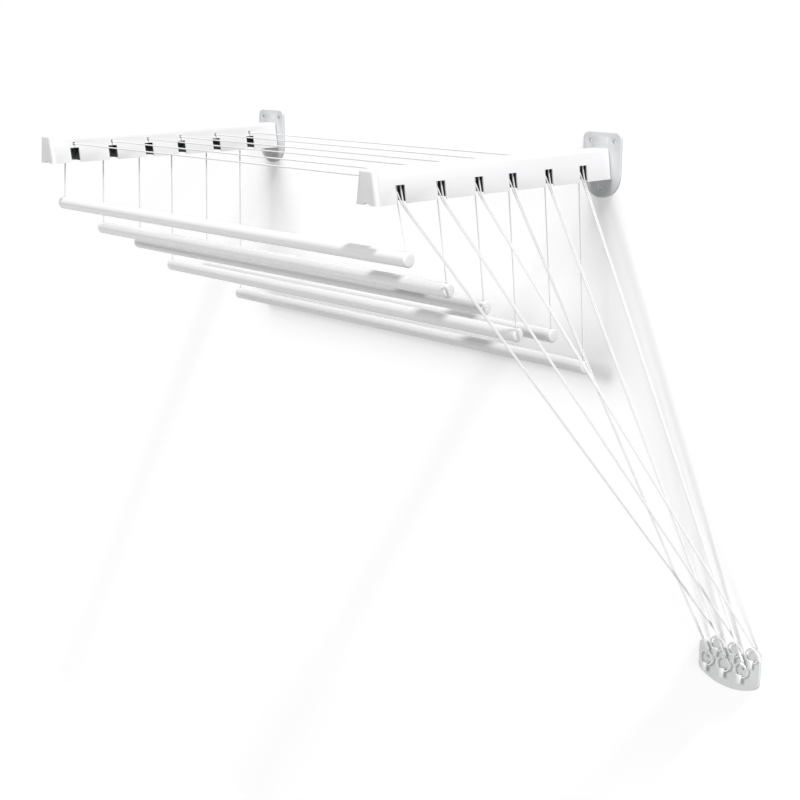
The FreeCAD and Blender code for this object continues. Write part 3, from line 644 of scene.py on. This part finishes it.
class RACK_OT_rods(bpy.types.Operator):
    """Finishes the rods and turns their domed caps"""

    bl_idname = "rack.rods"
    bl_label = "Rods and caps"

    def execute(self, context):
        colours = context.scene.rack_finish
        paint = enamel("rod enamel", tuple(colours.rod))
        plastic = moulding("cap moulding", tuple(colours.cap), 0.34)
        for station in STATIONS:
            dress("rod_%d" % station, paint)
            frame["nodes"]["rod_%d" % station].data.shade_smooth()
            for side in (-1, 1):
                self.cap(station, side, plastic, context.scene.rack_shape)
        return {"FINISHED"}

    def cap(self, station, side, material, shape):
        """Turned cap with a domed face and a small dimple in its middle."""
        low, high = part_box("rod_%d" % station)
        radius = (high.z - low.z) / 2
        bench = Vector((low.x if side < 0 else high.x, (low.y + high.y) / 2,
                        (low.z + high.z) / 2))
        seat = 0.15 * MM             # rim's step inside the tube's edge
        lip = 0.35 * MM              # straight part of the rim
        fall = 0.16                  # share of the crown lost between its middle and its shoulder
        rim = radius - seat
        crown = shape.cap_dome
        shoulder = [(lip + (crown * (1 - fall) - lip) * math.sin(turn),
                     rim - shape.cap_shoulder * (1 - math.cos(turn)))
                    for turn in np.linspace(0, math.pi / 2, 9)]
        inner = rim - shape.cap_shoulder
        dome = [(crown * (1 - fall * share ** 2), inner * share) for share in (0.75, 0.5, 0.3)]
        dimple = [(crown * 0.985, 1.5 * MM), (crown * 0.9, 1.2 * MM), (crown * 0.88, 0)]
        profile = [(0.02 * MM, 0), (0.02 * MM, rim - 0.4 * MM), (0.08 * MM, rim - 0.1 * MM),
                   *shoulder, *dome, *dimple]
        vertices, faces = turned(profile, ACROSS * side, UP, bench, 72)
        name = "rod_cap_%s_%d" % ("left" if side < 0 else "right", station)
        piece = new_piece(name, vertices, faces, material)
        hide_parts("rod_end_caps_%d" % station)
        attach(piece, "rod_%d" % station)


class RACK_OT_cleat(bpy.types.Operator):
    """Finishes the cleat with its hooks"""

    bl_idname = "rack.cleat"
    bl_label = "Cleat"

    def execute(self, context):
        material = moulding("cleat moulding", tuple(context.scene.rack_finish.cleat), 0.40)
        dress("cleat_plate", material)
        round_edges("cleat_plate", context.scene.rack_shape.edge)
        return {"FINISHED"}


class RACK_OT_rings(bpy.types.Operator):
    """Moulds the pull rings, with the cords knotted round their tops"""

    bl_idname = "rack.rings"
    bl_label = "Pull rings and knots"

    def execute(self, context):
        colours = context.scene.rack_finish
        plastic = moulding("ring moulding", tuple(colours.ring), 0.30)
        for station in STATIONS:
            self.ring(station, plastic, context.scene.rack_shape.parting)
            self.knot(station, bpy.data.materials["cord braid"])
        return {"FINISHED"}

    def ring(self, station, material, parting):
        """Round ring with its parting line round the outside."""
        low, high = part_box("ring_%d" % station)
        wire = (high.y - low.y) / 2
        radius = (high.z - low.z) / 2 - wire
        sharpness = 60               # of the parting line's ridge
        turns = np.linspace(0, 2 * math.pi, 40, endpoint=False)
        profile = [(wire * math.sin(turn),
                    radius + (wire - parting) * math.cos(turn)
                    + parting * max(0, math.cos(turn)) ** sharpness) for turn in turns]
        vertices, faces = turned(profile, INWARDS, UP, (low + high) / 2, 128, closed=True)
        piece = new_piece("pull_ring_%d" % station, vertices, faces, material)
        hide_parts("ring_%d" % station)
        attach(piece, "ring_%d" % station)

    def knot(self, station, material):
        """Two loops round the ring's wire under one knot."""
        cord = bpy.context.scene.rack_cord
        low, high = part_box("ring_%d" % station)
        wire = (high.y - low.y) / 2
        place = knot_place(station)
        forward = 0.5 * MM           # loops stand a little to the room side of the wire
        hold = Vector((place.x, place.y - forward, high.z - wire))
        apart = 1.15 * MM            # half the gap between the two loops
        slant = 0.3 * MM
        braided = Braided()
        for lean in (-1, 1):
            spot = hold + ACROSS * lean * apart
            braided.add(loop_line(spot, wire + cord.radius * TIGHTER, lean * slant), closed=True,
                        thinner=TIGHTER)
        braided.add(knot_line(place, cord.knot, (1, 0.8, 1)), closed=True, thinner=TIGHTER)
        piece = braided.piece("ring_knot_%d" % station, material)
        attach(piece, "ring_%d" % station)


class RACK_OT_standing_cords(bpy.types.Operator):
    """Braids the cords from the pulleys to the rings"""

    bl_idname = "rack.standing_cords"
    bl_label = "Standing cords"

    def execute(self, context):
        cord = context.scene.rack_cord
        material = braid("cord braid", tuple(context.scene.rack_finish.cord), cord.sides,
                         cord.stitch)
        for station in STATIONS:
            for kind, route in (("far", far_route), ("near", near_route)):
                braided = Braided()
                braided.add(smooth_line(route(station)))
                piece = braided.piece("%s_cord_%d" % (kind, station), material)
                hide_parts(kind + "_cords")
                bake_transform(piece)
        return {"FINISHED"}


class RACK_OT_drop_cords(bpy.types.Operator):
    """Braids the cords from the arms down to the rods"""

    bl_idname = "rack.drop_cords"
    bl_label = "Drop cords"

    def execute(self, context):
        cord = context.scene.rack_cord
        material = bpy.data.materials["cord braid"]
        for station in STATIONS:
            for side in ("left", "right"):
                route = drop_route(station, side)
                braided = Braided()
                braided.add(smooth_line(route))
                knot = route[-1] - UP * 2 * MM      # inside the tube, under its cord hole
                braided.add(knot_line(knot, cord.knot, (1, 0.8, 0.8)), closed=True, thinner=TIGHTER)
                piece = braided.piece("drop_cord_%s_%d" % (side, station), material)
                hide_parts("drop_cords_%d" % station)
                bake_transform(piece)
        return {"FINISHED"}


class RACK_OT_stage(bpy.types.Operator):
    """Builds the cove of wall and floor, the lights and the camera"""

    bl_idname = "rack.stage"
    bl_label = "Stage"

    def execute(self, context):
        settings = context.scene.rack_stage
        self.cove(settings)
        self.lights(context.scene, settings)
        self.camera(context.scene, settings)
        context.scene.view_settings.view_transform = "Standard"
        return {"FINISHED"}

    def cove(self, settings):
        """One bent sheet: a wall behind the plates that curves into the floor."""
        half = 9.0
        curve = 0.8
        top = 4.0
        depth = 9.0
        wall = CAD_BOX[1].y + 0.2 * MM
        floor = -settings.floor_drop
        bend = [(wall - curve * (1 - math.cos(turn)), floor + curve * (1 - math.sin(turn)))
                for turn in np.linspace(0, math.pi / 2, 17)]
        outline = [(wall, top), *bend, (-depth, floor)]
        vertices = [(x, y, z) for y, z in outline for x in (-half, half)]
        faces = [(2 * row, 2 * row + 2, 2 * row + 3, 2 * row + 1) for row in range(len(outline) - 1)]
        data = bpy.data.meshes.new("cove")
        data.from_pydata(vertices, [], faces)
        data.shade_smooth()
        item = bpy.data.objects.new("cove", data)
        bpy.context.scene.collection.objects.link(item)
        data.materials.append(self.one_sided_paper())
        item.visible_diffuse = False

    def one_sided_paper(self):
        """Plain pale paper on the room's side, and nothing on the side behind the wall."""
        material, tree, shader, place = finish("backdrop paper", (0.95, 0.95, 0.95), 0.9,
                                               Emission_Strength=0.22)
        shader.inputs["Specular IOR Level"].default_value = 0.1
        shader.inputs["Emission Color"].default_value = (1, 1, 1, 1)
        clear = tree.nodes.new("ShaderNodeBsdfTransparent")
        mix = tree.nodes.new("ShaderNodeMixShader")
        side = tree.nodes.new("ShaderNodeNewGeometry")
        tree.links.new(side.outputs["Backfacing"], mix.inputs["Fac"])
        tree.links.new(shader.outputs["BSDF"], mix.inputs[1])
        tree.links.new(clear.outputs["BSDF"], mix.inputs[2])
        tree.links.new(mix.outputs["Shader"], tree.nodes["Material Output"].inputs["Surface"])
        return material

    def lights(self, scene, settings):
        for name, heading, strength, softness in (
                ("key", (-0.64, 0.05, -1), settings.key, 4),
                ("fill", (0, 1, -0.45), settings.fill, 20),
                ("side", (-1, 0.25, -0.15), settings.side, 40)):
            data = bpy.data.lights.new(name, "SUN")
            data.energy = strength
            data.angle = math.radians(softness)
            item = bpy.data.objects.new(name, data)
            item.rotation_mode = "QUATERNION"
            item.rotation_quaternion = Vector(heading).to_track_quat("-Z", "Y")
            scene.collection.objects.link(item)
        world = bpy.data.worlds.new("studio")
        scene.world = world
        world.use_nodes = True
        world.node_tree.nodes["Background"].inputs["Color"].default_value = (1, 1, 1, 1)
        world.node_tree.nodes["Background"].inputs["Strength"].default_value = settings.sky

    def camera(self, scene, settings):
        data = bpy.data.cameras.new("camera")
        data.lens = settings.lens
        data.sensor_width = 36
        data.shift_x, data.shift_y = settings.shift
        data.clip_end = 100
        item = bpy.data.objects.new("camera", data)
        item.location = settings.eye
        item.rotation_euler = (math.pi / 2 - settings.dip, 0, settings.heading)
        scene.collection.objects.link(item)
        scene.camera = item


STEPS = (RACK_OT_stage, RACK_OT_standing_cords, RACK_OT_drop_cords, RACK_OT_arms,
         RACK_OT_wheels, RACK_OT_rods, RACK_OT_cleat, RACK_OT_rings)


class RACK_PT_steps(bpy.types.Panel):
    """Lists the sizes, the finishes and the steps that build the rack's looks"""

    bl_label = "Drying rack"
    bl_space_type = "VIEW_3D"
    bl_region_type = "UI"
    bl_category = "Drying Rack"

    def draw(self, context):
        for step in STEPS:
            self.layout.operator(step.bl_idname)
        for name, group in GROUPS.items():
            box = self.layout.box()
            for field in group.__annotations__:
                box.prop(getattr(context.scene, name), field)


GROUPS = {"rack_cord": RackCordSettings, "rack_shape": RackShapeSettings,
          "rack_finish": RackFinishSettings, "rack_stage": RackStageSettings}
CLASSES = (*GROUPS.values(), *STEPS, RACK_PT_steps)


def register():
    for item in CLASSES:
        bpy.utils.register_class(item)
    for name, group in GROUPS.items():
        setattr(bpy.types.Scene, name, PointerProperty(type=group))


def unregister():
    for name in GROUPS:
        delattr(bpy.types.Scene, name)
    for item in reversed(CLASSES):
        bpy.utils.unregister_class(item)


def main():
    register()
    bpy.ops.rack.stage()
    bpy.ops.rack.standing_cords()
    bpy.ops.rack.drop_cords()
    bpy.ops.rack.arms()
    bpy.ops.rack.wheels()
    bpy.ops.rack.rods()
    bpy.ops.rack.cleat()
    bpy.ops.rack.rings()


if __name__ == "__main__":
    main()
